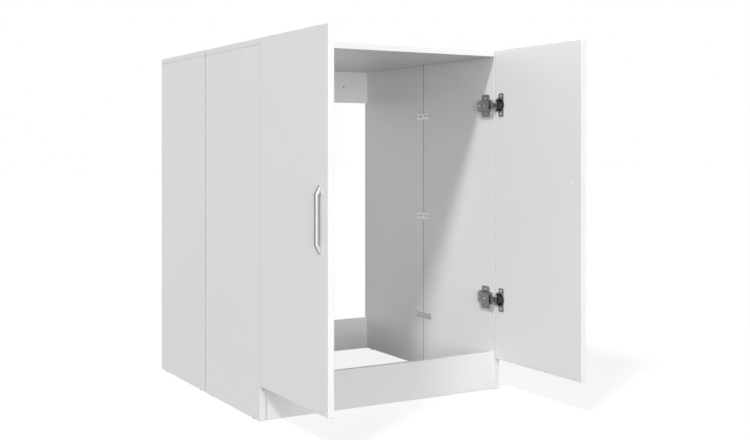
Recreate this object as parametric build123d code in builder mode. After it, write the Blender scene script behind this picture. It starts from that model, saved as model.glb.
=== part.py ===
from build123d import *
import os

os.makedirs("parts", exist_ok=True)

# Millimetres. The floor is z = 0, x runs across the front and y from the doors to the back.
# The origin is under the middle of the whole piece as it stands with both doors open square.

# Carcass boards
cabinet_width = 705.0
cabinet_height = 915.0
carcass_depth = 712.0
board = 15.0
edge_round = 0.8
kick_height = 100.0
kick_recess = 5.0
back_rail_height = 100.0

# Doors, which cover the front edges of the sides and the top
door_gap = 3.2
door_reveal = 1.5
door_middle_gap = 4.0
kick_cover = 15.0

# Clearances
hole_fit = 0.1
seat_gap = 0.3
overrun = 2.0

# Cam locks, their bolts and their caps
cam_diameter = 15.0
cam_depth = 12.0
cam_from_end = 24.0
cam_slot_width = 6.8
cam_slot_past_centre = 2.4
cap_diameter = 17.6
cap_thickness = 1.2
cap_round = 0.6
bolt_thread_diameter = 5.0
bolt_thread_length = 11.0
bolt_shank_diameter = 6.0
bolt_neck_diameter = 3.8
bolt_head_diameter = 6.0
bolt_head_length = 2.8

# Where the carcass fittings sit
top_fitting_inset = 60.0
rail_dowel_spacing = 64.0
seam_dowel_height_shares = (0.1, 0.33, 0.67, 0.93)
top_seam_dowel_shares = (-0.36, 0.0, 0.36)
seam_plate_height_shares = (0.17, 0.5, 0.83)

# Dowels
dowel_diameter = 8.0
dowel_length = 30.0
dowel_chamfer = 1.0
dowel_in_face = 11.0

# Flat steel plates across the joint between the front and rear sides
seam_plate_length = 80.0
seam_plate_width = 18.0
seam_plate_thickness = 2.0
seam_plate_corner = 4.0
seam_plate_hole_shares = (-0.4, -0.15, 0.15, 0.4)

# Nail-in glides under the sides
glide_height = 2.0
glide_diameter = 13.0
glide_inset = 40.0
nail_diameter = 1.8
nail_length = 14.0

# Wall fixing holes through the upper back rail
wall_hole_diameter = 5.0
wall_hole_spacing = 500.0

# Wood screws with raised heads, for the seam plates, mounting plates and hinge cups
screw_head_diameter = 7.2
screw_head_height = 2.2
screw_shank_diameter = 3.4
screw_length = 11.0
screw_top_share = 0.62
slot_length_share = 0.5
slot_width_share = 0.14
slot_depth_share = 0.45

# Concealed hinges: heights, then the cup in the door
hinge_from_door_top = 147.0
hinge_from_door_bottom = 161.0
cup_diameter = 35.0
cup_depth = 12.0
cup_wall = 1.2
cup_edge_distance = 5.0
cup_rim_diameter = 36.0
cup_rim_thickness = 1.5
cup_ear_length = 63.0
cup_ear_width = 20.8
cup_ear_offset = 4.7
cup_ear_corner = 4.0
cup_nose_reach = 19.0
cup_nose_tip_width = 31.0
cup_nose_root_width = 40.0
cup_screw_spacing = 48.0
cup_notch_width = 19.0
cup_lug_thickness = 2.5
cup_lug_length = 12.0
cup_lug_below_door = 1.5

# Mounting plate on the side, with the raised rib that the arm rides on
plate_from_front = 22.0
plate_wing_depth = 34.0
plate_wing_length = 61.0
plate_wing_corner = 6.0
plate_waist_length = 32.0
plate_waist_from_front = 9.0
plate_waist_depth = 60.0
plate_waist_corner = 4.0
plate_thickness = 2.0
plate_screw_spacing = 40.0
rib_height = 4.5
rib_inset = 5.0

# Hinge arm, a pressed channel over the rib
arm_width = 28.0
arm_wall = 1.3
arm_top = 16.5
arm_web_front = 4.0
arm_rear_top = 9.0
arm_slope_length = 14.0
arm_rear_inset = 3.0
arm_neck_low = 6.8
arm_nose_round = 2.6
arm_screw_front = 24.0
arm_screw_rear = 46.0
arm_screw_head_diameter = 6.6

# Links between the arm and the cup: pivots by their distance from the side and from the front
outer_pivot_in = 13.0
outer_pivot_front = 3.0
inner_pivot_in = 9.0
inner_pivot_front = 0.0
link_crank_in = 5.0
link_crank_back = 0.5
link_tip_in = -1.0
link_tip_margin = 4.6
outer_link_width = 3.2
inner_link_width = 2.8
outer_cheek_inner = 5.4
outer_cheek_thickness = 1.5
inner_link_thickness = 9.0
outer_web_thickness = 1.0
outer_web_share = 0.42
pin_diameter = 2.0
pin_fit = 0.06
pin_head_diameter = 3.4
pin_head_length = 0.8
tip_rivet_diameter = 2.4
tip_rivet_length = 0.7

# Bow handles, their screws and the caps over the screw heads
handle_length = 147.0
handle_bar_length = 110.0
handle_projection = 12.5
handle_thickness = 6.0
handle_width = 10.0
handle_foot = 15.0
handle_tip_edge = 2.0
handle_inner_step = 3.0
handle_bend = 7.0
handle_inner_bend = 3.0
handle_edge_round = 1.2
handle_tip_round_share = 0.97
handle_from_free_edge = 36.5
handle_screw_spacing = 128.0
handle_screw_diameter = 4.0
handle_thread_depth = 4.0
handle_head_diameter = 8.0
handle_head_height = 2.6
handle_bore_diameter = 9.0
handle_cap_diameter = 12.0
handle_cap_thickness = 1.2

# Places worked out from the sizes above
half_width = cabinet_width / 2
inner_x = half_width - board
side_middle_x = half_width - board / 2
door_width = half_width - door_reveal - door_middle_gap / 2
door_bottom = kick_height - kick_cover
door_height = cabinet_height - door_bottom
front = (door_gap + door_width - carcass_depth) / 2
back = front + carcass_depth
half_depth = carcass_depth / 2
seam_y = front + half_depth
side_top = cabinet_height - board
side_height = side_top - glide_height
cup_from_front = door_gap + cup_diameter / 2 + cup_edge_distance
cup_bore = cup_diameter / 2 + hole_fit
cup_cavity = cup_diameter / 2 - cup_wall
hinge_heights = {
    "upper": cabinet_height - hinge_from_door_top,
    "lower": door_bottom + hinge_from_door_bottom,
}
handle_y = front - door_gap - door_width + handle_from_free_edge
handle_z = door_bottom + door_height / 2
sides = {"left": -1, "right": 1}
halves = {"front": front, "rear": seam_y}

up = (0, 0, 1)
down = (0, 0, -1)
to_front = (0, -1, 0)
to_back = (0, 1, 0)


def inward(side):
    """Direction from a side board into the cabinet."""
    return (-side, 0, 0)


def outward(side):
    """Direction away from the cabinet at a side."""
    return (side, 0, 0)


def flipped(planes):
    """The same places, looked at from the other side."""
    return [Plane(origin=p.origin, x_dir=p.x_dir, z_dir=-p.z_dir) for p in planes]


def cylinder_between(radius, low, high, mode=Mode.ADD):
    """A cylinder between two heights of the current places."""
    with Locations((0, 0, low)):
        Cylinder(radius, high - low, align=(Align.CENTER, Align.CENTER, Align.MIN), mode=mode)


def cross_slot(head_diameter, top, depth):
    """A crossed driver slot cut down from the top of a head."""
    length = head_diameter * slot_length_share
    width = head_diameter * slot_width_share
    with Locations((0, 0, top - depth)):
        Box(length, width, depth + overrun, align=(Align.CENTER, Align.CENTER, Align.MIN), mode=Mode.SUBTRACT)
        Box(width, length, depth + overrun, align=(Align.CENTER, Align.CENTER, Align.MIN), mode=Mode.SUBTRACT)


def raised_screw(head_diameter, head_height, shank_diameter, length):
    """A screw whose head stands on the current places and whose shank goes down from them."""
    Cone(
        head_diameter / 2,
        head_diameter / 2 * screw_top_share,
        head_height,
        align=(Align.CENTER, Align.CENTER, Align.MIN),
    )
    cylinder_between(shank_diameter / 2, -length, head_height / 2)
    cross_slot(head_diameter, head_height, head_height * slot_depth_share)


def cam_lock():
    """A cam turned into its bore, open towards the bolt that comes in along x."""
    cylinder_between(cam_diameter / 2 - hole_fit, -cam_depth, -seat_gap)
    with Locations((-cam_slot_past_centre, 0, -board / 2)):
        Box(
            cam_diameter,
            cam_slot_width,
            cam_slot_width,
            align=(Align.MIN, Align.CENTER, Align.CENTER),
            mode=Mode.SUBTRACT,
        )
    cross_slot(cam_diameter, -seat_gap, cam_depth * slot_width_share)


def cam_bolt():
    """A bolt screwed down into one board, its head up in the cam of the other."""
    neck_low = cam_from_end - cam_diameter / 2
    head_low = cam_from_end - bolt_head_length / 2
    cylinder_between(bolt_thread_diameter / 2, -bolt_thread_length, 0)
    cylinder_between(bolt_shank_diameter / 2, 0, neck_low)
    cylinder_between(bolt_neck_diameter / 2, neck_low, head_low)
    cylinder_between(bolt_head_diameter / 2, head_low, head_low + bolt_head_length)


def cam_cap():
    """A push-on cap that covers a cam."""
    cylinder_between(cap_diameter / 2, 0, cap_thickness)


def drill_thread(planes):
    """Blind holes for the bolts' threads in the board behind the places."""
    with Locations(*planes):
        Hole(bolt_thread_diameter / 2 + hole_fit, bolt_thread_length + seat_gap)


def drill_shank(planes):
    """Holes for the bolts' shanks, from a board's end to its cam bore."""
    with Locations(*flipped(planes)):
        Hole(bolt_shank_diameter / 2 + hole_fit, cam_from_end)


def drill_cam(planes):
    """Bores for the cams."""
    with Locations(*planes):
        Hole(cam_diameter / 2 + hole_fit, cam_depth + seat_gap)


def drill_dowel(planes, depth):
    """Blind dowel holes into the board behind the places."""
    with Locations(*planes):
        Hole(dowel_diameter / 2 + hole_fit, depth + seat_gap)


def save(piece, name):
    """Names a finished piece and writes it."""
    piece.part.label = name
    export_step(piece.part, f"parts/{name}.step")


def end_places(y0):
    """Depths of the two top fittings of one half of the cabinet."""
    return (y0 + top_fitting_inset, y0 + half_depth - top_fitting_inset)


# Joints between the top and the sides: bolts down into the sides, one dowel between each pair
def top_bolt_places(side, y0):
    return [Plane(origin=(side * side_middle_x, y, side_top), x_dir=(1, 0, 0), z_dir=down) for y in end_places(y0)]


def top_cam_places(side, y0):
    height = side_top - cam_from_end
    return [Plane(origin=(side * inner_x, y, height), x_dir=up, z_dir=inward(side)) for y in end_places(y0)]


def top_dowel_places(side, y0):
    middle = y0 + half_depth / 2
    return [Plane(origin=(side * side_middle_x, middle, side_top), x_dir=(1, 0, 0), z_dir=down)]


# Joints between the cross boards and the sides: one bolt and two dowels at each end
cross_boards = {
    "kick_board": (front + kick_recess, glide_height, kick_height, to_back),
    "upper_back_rail": (back - board, side_top - back_rail_height, side_top, to_front),
    "lower_back_rail": (back - board, glide_height, back_rail_height, to_front),
}


def cross_bolt_places(name, side):
    y0, low, high, _ = cross_boards[name]
    origin = (side * inner_x, y0 + board / 2, (low + high) / 2)
    return [Plane(origin=origin, x_dir=up, z_dir=inward(side))]


def cross_cam_places(name, side):
    y0, low, high, face = cross_boards[name]
    y = y0 + board if face == to_back else y0
    origin = (side * (inner_x - cam_from_end), y, (low + high) / 2)
    return [Plane(origin=origin, x_dir=outward(side), z_dir=face)]


def cross_dowel_places(name, side):
    y0, low, high, _ = cross_boards[name]
    heights = ((low + high - rail_dowel_spacing) / 2, (low + high + rail_dowel_spacing) / 2)
    return [Plane(origin=(side * inner_x, y0 + board / 2, z), x_dir=up, z_dir=inward(side)) for z in heights]


# Joints between the front and rear halves: dowels in the edges, plates on the inner faces
def seam_dowel_places(side):
    heights = [glide_height + side_height * share for share in seam_dowel_height_shares]
    return [Plane(origin=(side * side_middle_x, seam_y, z), x_dir=(1, 0, 0), z_dir=to_back) for z in heights]


def top_seam_dowel_places():
    height = cabinet_height - board / 2
    spots = [cabinet_width * share for share in top_seam_dowel_shares]
    return [Plane(origin=(x, seam_y, height), x_dir=(1, 0, 0), z_dir=to_back) for x in spots]


def seam_plate_places(side):
    heights = [glide_height + side_height * share for share in seam_plate_height_shares]
    return [Plane(origin=(side * inner_x, seam_y, z), x_dir=to_back, z_dir=inward(side)) for z in heights]


def seam_screw_places(side, lift):
    places = []
    for plate in seam_plate_places(side):
        for share in seam_plate_hole_shares:
            y = plate.origin.Y + seam_plate_length * share
            x = side * (inner_x - lift)
            places.append(Plane(origin=(x, y, plate.origin.Z), x_dir=to_back, z_dir=inward(side)))
    return places


def glide_places(side):
    depths = [y0 + inset for y0 in halves.values() for inset in (glide_inset, half_depth - glide_inset)]
    return [Plane(origin=(side * side_middle_x, y, glide_height), x_dir=(1, 0, 0), z_dir=down) for y in depths]


# Places on the hinges. In a hinge plane x points into the cabinet and y to the back.
def hinge_plane(side, height):
    return Plane(origin=(side * inner_x, front, height), x_dir=inward(side), z_dir=(0, 0, -side))


def hinge_face(side, height, from_front, lift=0):
    """A plane on the inner face of a side or an open door, facing into the cabinet."""
    origin = (side * (inner_x - lift), front + from_front, height)
    return Plane(origin=origin, x_dir=to_back, z_dir=inward(side))


def plate_screw_places(side, height, lift=0):
    from_front = plate_from_front + plate_wing_depth / 2
    rise = plate_screw_spacing / 2
    return [hinge_face(side, height + dz, from_front, lift) for dz in (-rise, rise)]


def cup_screw_places(side, height, lift=0):
    rise = cup_screw_spacing / 2
    return [hinge_face(side, height + dz, -cup_from_front - cup_ear_offset, lift) for dz in (-rise, rise)]


def handle_screw_places(side):
    rise = handle_screw_spacing / 2
    return [
        Plane(origin=(side * inner_x, handle_y, handle_z + dz), x_dir=up, z_dir=inward(side))
        for dz in (-rise, rise)
    ]


# Side boards, a front and a rear half on each side
for side_name, side in sides.items():
    for half_name, y0 in halves.items():
        with BuildPart() as side_panel:
            with BuildSketch(Plane.XY.offset(glide_height)):
                with Locations((side * side_middle_x, y0 + half_depth / 2)):
                    Rectangle(board, half_depth)
            extrude(amount=side_height)
            fillet(side_panel.edges(), radius=edge_round)
            drill_shank(top_bolt_places(side, y0))
            drill_cam(top_cam_places(side, y0))
            drill_dowel(flipped(top_dowel_places(side, y0)), dowel_length - dowel_in_face)
            seam_dowels_here = seam_dowel_places(side)
            if half_name == "front":
                seam_dowels_here = flipped(seam_dowels_here)
            drill_dowel(flipped(seam_dowels_here), dowel_length / 2)
            for name, (board_y, _, _, _) in cross_boards.items():
                if y0 <= board_y < y0 + half_depth:
                    drill_thread(cross_bolt_places(name, side))
                    drill_dowel(cross_dowel_places(name, side), dowel_in_face)
            for place in seam_screw_places(side, 0):
                if y0 <= place.origin.Y < y0 + half_depth:
                    with Locations(place):
                        Hole(screw_shank_diameter / 2 + hole_fit, screw_length)
            for place in glide_places(side):
                if y0 <= place.origin.Y < y0 + half_depth:
                    with Locations(place):
                        Hole(nail_diameter / 2 + hole_fit, nail_length + seat_gap)
            if half_name == "front":
                for height in hinge_heights.values():
                    with Locations(*plate_screw_places(side, height)):
                        Hole(screw_shank_diameter / 2 + hole_fit, screw_length)
        save(side_panel, f"side_panel_{side_name}_{half_name}")

# Top boards, laid over the sides
for half_name, y0 in halves.items():
    with BuildPart() as top_panel:
        with BuildSketch(Plane.XY.offset(side_top)):
            with Locations((0, y0 + half_depth / 2)):
                Rectangle(cabinet_width, half_depth)
        extrude(amount=board)
        fillet(top_panel.edges(), radius=edge_round)
        for side in sides.values():
            drill_thread(top_bolt_places(side, y0))
            drill_dowel(top_dowel_places(side, y0), dowel_in_face)
        top_seam_dowels = top_seam_dowel_places()
        if half_name == "front":
            top_seam_dowels = flipped(top_seam_dowels)
        drill_dowel(flipped(top_seam_dowels), dowel_length / 2)
    save(top_panel, f"top_panel_{half_name}")

# Kick board and back rails, fitted between the sides
for name, (board_y, low, high, _) in cross_boards.items():
    with BuildPart() as cross_board:
        with BuildSketch(Plane.XY.offset(low)):
            with Locations((0, board_y + board / 2)):
                Rectangle(inner_x * 2, board)
        extrude(amount=high - low)
        fillet(cross_board.edges(), radius=edge_round)
        for side in sides.values():
            drill_shank(cross_bolt_places(name, side))
            drill_cam(cross_cam_places(name, side))
            drill_dowel(flipped(cross_dowel_places(name, side)), dowel_length - dowel_in_face)
        if name == "upper_back_rail":
            wall_holes = [
                Plane(origin=(x, board_y, (low + high) / 2), x_dir=up, z_dir=to_front)
                for x in (-wall_hole_spacing / 2, wall_hole_spacing / 2)
            ]
            with Locations(*wall_holes):
                Hole(wall_hole_diameter / 2, board)
    save(cross_board, name)

# Cam locks, bolts and caps of the top, then of the cross boards
top_bolts = [p for side in sides.values() for y0 in halves.values() for p in top_bolt_places(side, y0)]
top_cams = [p for side in sides.values() for y0 in halves.values() for p in top_cam_places(side, y0)]
cross_bolts = [p for name in cross_boards for side in sides.values() for p in cross_bolt_places(name, side)]
cross_cams = [p for name in cross_boards for side in sides.values() for p in cross_cam_places(name, side)]
for group_name, bolt_places, cam_places in (
    ("top", top_bolts, top_cams),
    ("rail", cross_bolts, cross_cams),
):
    with BuildPart() as cam_locks:
        with Locations(*cam_places):
            cam_lock()
    save(cam_locks, f"{group_name}_cam_locks")
    with BuildPart() as cam_bolts:
        with Locations(*bolt_places):
            cam_bolt()
    save(cam_bolts, f"{group_name}_cam_bolts")
    with BuildPart() as cam_caps:
        with Locations(*cam_places):
            cam_cap()
        fillet(cam_caps.edges().filter_by(GeomType.CIRCLE), radius=min(cap_round, cap_thickness / 2.1))
    save(cam_caps, f"{group_name}_cam_caps")

# Dowels
top_dowels_at = [p for side in sides.values() for y0 in halves.values() for p in top_dowel_places(side, y0)]
cross_dowels_at = [p for name in cross_boards for side in sides.values() for p in cross_dowel_places(name, side)]
seam_dowels_at = [p for side in sides.values() for p in seam_dowel_places(side)] + top_seam_dowel_places()
for name, places, behind in (
    ("top_dowels", top_dowels_at, dowel_in_face),
    ("rail_dowels", cross_dowels_at, dowel_in_face),
    ("seam_dowels", seam_dowels_at, dowel_length / 2),
):
    with BuildPart() as dowels:
        with Locations(*places):
            cylinder_between(dowel_diameter / 2, -behind, dowel_length - behind)
        chamfer(dowels.edges().filter_by(GeomType.CIRCLE), length=dowel_chamfer)
    save(dowels, name)

# Steel plates and screws across the joint of the side boards
with BuildPart() as seam_plates:
    for side in sides.values():
        for plane in seam_plate_places(side):
            with BuildSketch(plane):
                RectangleRounded(seam_plate_length, seam_plate_width, seam_plate_corner)
                with Locations(*[(seam_plate_length * share, 0) for share in seam_plate_hole_shares]):
                    Circle(screw_shank_diameter / 2 + hole_fit, mode=Mode.SUBTRACT)
            extrude(amount=seam_plate_thickness)
save(seam_plates, "seam_plates")

with BuildPart() as seam_plate_screws:
    with Locations(*[p for side in sides.values() for p in seam_screw_places(side, seam_plate_thickness)]):
        raised_screw(screw_head_diameter, screw_head_height, screw_shank_diameter, screw_length)
save(seam_plate_screws, "seam_plate_screws")

# Glides nailed into the bottom edges of the sides
with BuildPart() as foot_glides:
    with Locations(*[p for side in sides.values() for p in glide_places(side)]):
        cylinder_between(glide_diameter / 2, 0, glide_height)
        cylinder_between(nail_diameter / 2, -nail_length, 0)
save(foot_glides, "foot_glides")

# Doors, standing open square to the front
for side_name, side in sides.items():
    with BuildPart() as door:
        with BuildSketch(Plane.XY.offset(door_bottom)):
            with Locations((side * side_middle_x, front - door_gap - door_width / 2)):
                Rectangle(board, door_width)
        extrude(amount=door_height)
        fillet(door.edges(), radius=edge_round)
        for height in hinge_heights.values():
            with Locations(hinge_face(side, height, -cup_from_front)):
                Hole(cup_bore, cup_depth + hole_fit)
            with Locations(*cup_screw_places(side, height)):
                Hole(screw_shank_diameter / 2 + hole_fit, screw_length)
        with Locations(*handle_screw_places(side)):
            CounterBoreHole(
                radius=handle_screw_diameter / 2 + hole_fit,
                counter_bore_radius=handle_bore_diameter / 2,
                counter_bore_depth=handle_head_height + seat_gap,
                depth=board,
            )
    save(door, f"door_{side_name}")

# Bow handles on the outer faces of the doors
for side_name, side in sides.items():
    handle_plane = Plane(
        origin=(side * half_width, handle_y, handle_z), x_dir=outward(side), z_dir=(0, -side, 0)
    )
    tip = handle_length / 2
    bar_end = handle_bar_length / 2
    foot_end = tip - handle_foot
    inner_end = bar_end - handle_inner_step
    under_bar = handle_projection - handle_thickness
    # The short edge at each tip has to hold the rounding of both its corners
    slope = Vector(handle_projection - handle_tip_edge, tip - bar_end)
    tip_round_limit = handle_tip_edge / (1 + slope.Y / (slope.length + slope.X))
    edge_rounding = min(handle_edge_round, tip_round_limit * handle_tip_round_share)
    with BuildPart() as handle:
        with BuildSketch(handle_plane) as handle_profile:
            with BuildLine():
                Polyline(
                    (0, -tip),
                    (handle_tip_edge, -tip),
                    (handle_projection, -bar_end),
                    (handle_projection, bar_end),
                    (handle_tip_edge, tip),
                    (0, tip),
                    (0, foot_end),
                    (under_bar, inner_end),
                    (under_bar, -inner_end),
                    (0, -foot_end),
                    close=True,
                )
            make_face()
            corners = handle_profile.vertices().group_by(Axis.X)
            fillet(corners[-1], radius=handle_bend)
            fillet(corners[-2], radius=handle_inner_bend)
        extrude(amount=handle_width / 2, both=True)
        fillet(handle.faces().filter_by(Axis.Y).edges(), radius=edge_rounding)
        feet = [Plane(origin=p.origin, x_dir=up, z_dir=inward(side)) for p in handle_screw_places(side)]
        with Locations(*[p.offset(-board) for p in feet]):
            Hole(handle_screw_diameter / 2 + hole_fit, handle_thread_depth + seat_gap)
    save(handle, f"handle_{side_name}")

    with BuildPart() as handle_screws:
        with Locations(*[p.offset(-handle_head_height - seat_gap) for p in handle_screw_places(side)]):
            cylinder_between(handle_head_diameter / 2, 0, handle_head_height)
            shank = board - handle_head_height - seat_gap + handle_thread_depth
            cylinder_between(handle_screw_diameter / 2, -shank, 0)
            cross_slot(handle_head_diameter, handle_head_height, handle_head_height * slot_depth_share)
    save(handle_screws, f"handle_screws_{side_name}")

    with BuildPart() as handle_screw_caps:
        with Locations(*handle_screw_places(side)):
            cylinder_between(handle_cap_diameter / 2, 0, handle_cap_thickness)
        fillet(
            handle_screw_caps.edges().filter_by(GeomType.CIRCLE),
            radius=min(cap_round, handle_cap_thickness / 2.1),
        )
    save(handle_screw_caps, f"handle_screw_caps_{side_name}")


def bar_between(start, end, width):
    """A flat bar with round ends between two points of the current sketch."""
    run = Vector(*end) - Vector(*start)
    middle = (Vector(*start) + Vector(*end)) * 0.5
    angle = Vector(1, 0).get_signed_angle(run, Vector(*up))
    with Locations((middle.X, middle.Y)):
        SlotCenterToCenter(run.length, width, rotation=angle)


# Concealed hinges, two to a door
outer_pivot = (outer_pivot_in, -outer_pivot_front)
inner_pivot = (inner_pivot_in, -inner_pivot_front)
link_tip = (link_tip_in, cup_cavity - link_tip_margin - cup_from_front)
link_crank = (link_crank_in, link_tip[1] + link_crank_back)
cup_nose_root = cup_ear_width / 2 - cup_ear_offset
cup_lug_inner = outer_cheek_inner + outer_cheek_thickness + tip_rivet_length + seat_gap
rib_low = plate_waist_from_front + rib_inset
rib_high = plate_waist_from_front + plate_waist_depth - rib_inset
rib_width = arm_width - (arm_wall + seat_gap) * 2
arm_low = plate_thickness + seat_gap
arm_rear = plate_waist_from_front + plate_waist_depth - arm_rear_inset
arm_front = outer_pivot[1] - arm_nose_round
arm_screw_spots = (arm_screw_front, arm_screw_rear)
arm_screw_length = arm_top - plate_thickness - seat_gap

for side_name, side in sides.items():
    for level, height in hinge_heights.items():
        plane = hinge_plane(side, height)

        # Mounting plate: crossed plate with a rib, screwed to the side
        with BuildPart() as mounting_plate:
            with BuildSketch(hinge_face(side, height, 0)):
                with Locations((plate_from_front + plate_wing_depth / 2, 0)):
                    RectangleRounded(plate_wing_depth, plate_wing_length, plate_wing_corner)
                with Locations((plate_waist_from_front + plate_waist_depth / 2, 0)):
                    RectangleRounded(plate_waist_depth, plate_waist_length, plate_waist_corner)
            extrude(amount=plate_thickness)
            with BuildSketch(hinge_face(side, height, 0, plate_thickness)):
                with Locations(((rib_low + rib_high) / 2, 0)):
                    Rectangle(rib_high - rib_low, rib_width)
            extrude(amount=rib_height)
            with Locations(*plate_screw_places(side, height, plate_thickness)):
                Hole(screw_shank_diameter / 2 + hole_fit, plate_thickness)
            with Locations(*[hinge_face(side, height, y, plate_thickness + rib_height) for y in arm_screw_spots]):
                Hole(screw_shank_diameter / 2 + hole_fit, rib_height)
        save(mounting_plate, f"mounting_plate_{side_name}_{level}")

        # Arm: pressed channel, its cheeks reaching forward to the two pivots
        with BuildPart() as hinge_arm:
            with BuildSketch(plane):
                with BuildLine():
                    Polyline(
                        (arm_low, arm_rear),
                        (arm_rear_top, arm_rear),
                        (arm_top, arm_rear - arm_slope_length),
                        (arm_top, outer_pivot[1]),
                        (outer_pivot_in, arm_front),
                        (outer_pivot_in - arm_nose_round, arm_front),
                        (arm_neck_low, inner_pivot[1]),
                        (arm_neck_low, arm_web_front),
                        (arm_low, rib_low),
                        close=True,
                    )
                make_face()
            extrude(amount=arm_width / 2, both=True)
            with BuildSketch(plane):
                with BuildLine():
                    Polyline(
                        (0, arm_rear + overrun),
                        (arm_rear_top - arm_wall, arm_rear + overrun),
                        (arm_rear_top - arm_wall, arm_rear),
                        (arm_top - arm_wall, arm_rear - arm_slope_length),
                        (arm_top - arm_wall, arm_web_front),
                        (arm_top + overrun, arm_web_front),
                        (arm_top + overrun, arm_front - overrun),
                        (0, arm_front - overrun),
                        close=True,
                    )
                make_face()
            extrude(amount=arm_width / 2 - arm_wall, both=True, mode=Mode.SUBTRACT)
            for pivot in (outer_pivot, inner_pivot):
                with Locations(plane):
                    with Locations(pivot):
                        Cylinder(pin_diameter / 2 + hole_fit, arm_width + overrun, mode=Mode.SUBTRACT)
            with Locations(*[hinge_face(side, height, y, arm_top) for y in arm_screw_spots]):
                Hole(screw_shank_diameter / 2 + hole_fit, arm_wall * 2)
        save(hinge_arm, f"hinge_arm_{side_name}_{level}")

        # Outer link: two cheeks joined by a web near the arm
        with BuildPart() as outer_link:
            with BuildSketch(plane):
                bar_between(outer_pivot, link_crank, outer_link_width)
                bar_between(link_crank, link_tip, outer_link_width)
                with Locations(outer_pivot):
                    Circle(pin_diameter / 2 + pin_fit, mode=Mode.SUBTRACT)
            extrude(amount=outer_cheek_inner + outer_cheek_thickness, both=True)
            with Locations(plane):
                Box(
                    arm_width,
                    (cup_from_front + outer_pivot_front) * 2,
                    outer_cheek_inner * 2,
                    mode=Mode.SUBTRACT,
                )
            web_run = Vector(*link_crank) - Vector(*outer_pivot)
            web_side = web_run.normalized().rotate(Axis.Z, 90) * (outer_link_width - outer_web_thickness) / 2
            web_start = Vector(*outer_pivot) + web_side + web_run.normalized() * outer_link_width / 2
            web_end = web_start + web_run * outer_web_share
            with BuildSketch(plane):
                bar_between((web_start.X, web_start.Y), (web_end.X, web_end.Y), outer_web_thickness)
            extrude(amount=outer_cheek_inner + outer_cheek_thickness, both=True)
            with Locations(plane):
                with Locations(link_tip):
                    rivet = (outer_cheek_inner + outer_cheek_thickness) * 2 + tip_rivet_length * 2
                    Cylinder(tip_rivet_diameter / 2, rivet)
                    Cylinder(tip_rivet_diameter, outer_cheek_inner * 2, mode=Mode.SUBTRACT)
        save(outer_link, f"outer_link_{side_name}_{level}")

        # Inner link: one solid bar between the cheeks of the outer link
        with BuildPart() as inner_link:
            with BuildSketch(plane):
                bar_between(inner_pivot, link_crank, inner_link_width)
                bar_between(link_crank, link_tip, inner_link_width)
                with Locations(inner_pivot):
                    Circle(outer_link_width / 2)
                    Circle(pin_diameter / 2 + pin_fit, mode=Mode.SUBTRACT)
            extrude(amount=inner_link_thickness / 2, both=True)
        save(inner_link, f"inner_link_{side_name}_{level}")

        # Cup: pressed into the door, with a rim, two screw ears, a nose towards the hinge with a
        # notch for the links, and a lug on each side of the ends of the links
        with BuildPart() as hinge_cup:
            with BuildSketch(hinge_face(side, height, -cup_from_front)):
                Circle(cup_rim_diameter / 2)
                with Locations((-cup_ear_offset, 0)):
                    RectangleRounded(cup_ear_width, cup_ear_length, cup_ear_corner)
                with BuildLine():
                    Polyline(
                        (0, -cup_nose_root_width / 2),
                        (cup_nose_root, -cup_nose_root_width / 2),
                        (cup_nose_reach, -cup_nose_tip_width / 2),
                        (cup_nose_reach, cup_nose_tip_width / 2),
                        (cup_nose_root, cup_nose_root_width / 2),
                        (0, cup_nose_root_width / 2),
                        close=True,
                    )
                make_face()
            extrude(amount=cup_rim_thickness)
            with BuildSketch(hinge_face(side, height, -cup_from_front)):
                Circle(cup_diameter / 2)
            extrude(amount=-cup_depth)
            with BuildSketch(hinge_face(side, height, -cup_from_front, cup_rim_thickness)):
                Circle(cup_cavity)
            extrude(amount=-(cup_rim_thickness + cup_depth - cup_wall), mode=Mode.SUBTRACT)
            with BuildSketch(hinge_face(side, height, -cup_from_front)):
                with Locations((cup_nose_reach / 2 + overrun, 0)):
                    Rectangle(cup_nose_reach + overrun * 2, cup_notch_width)
            extrude(amount=cup_rim_thickness, mode=Mode.SUBTRACT)
            with BuildSketch(hinge_face(side, height, -cup_from_front, cup_wall - cup_depth)):
                Circle(cup_cavity + cup_wall / 2)
                with Locations((cup_cavity - cup_lug_length / 2, 0)):
                    Rectangle(cup_lug_length, (cup_lug_inner + cup_lug_thickness) * 2, mode=Mode.INTERSECT)
                Rectangle(cup_diameter, cup_lug_inner * 2, mode=Mode.SUBTRACT)
            extrude(amount=cup_depth - cup_wall - cup_lug_below_door)
            with Locations(*cup_screw_places(side, height, cup_rim_thickness)):
                Hole(screw_shank_diameter / 2 + hole_fit, cup_rim_thickness)
        save(hinge_cup, f"hinge_cup_{side_name}_{level}")

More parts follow.
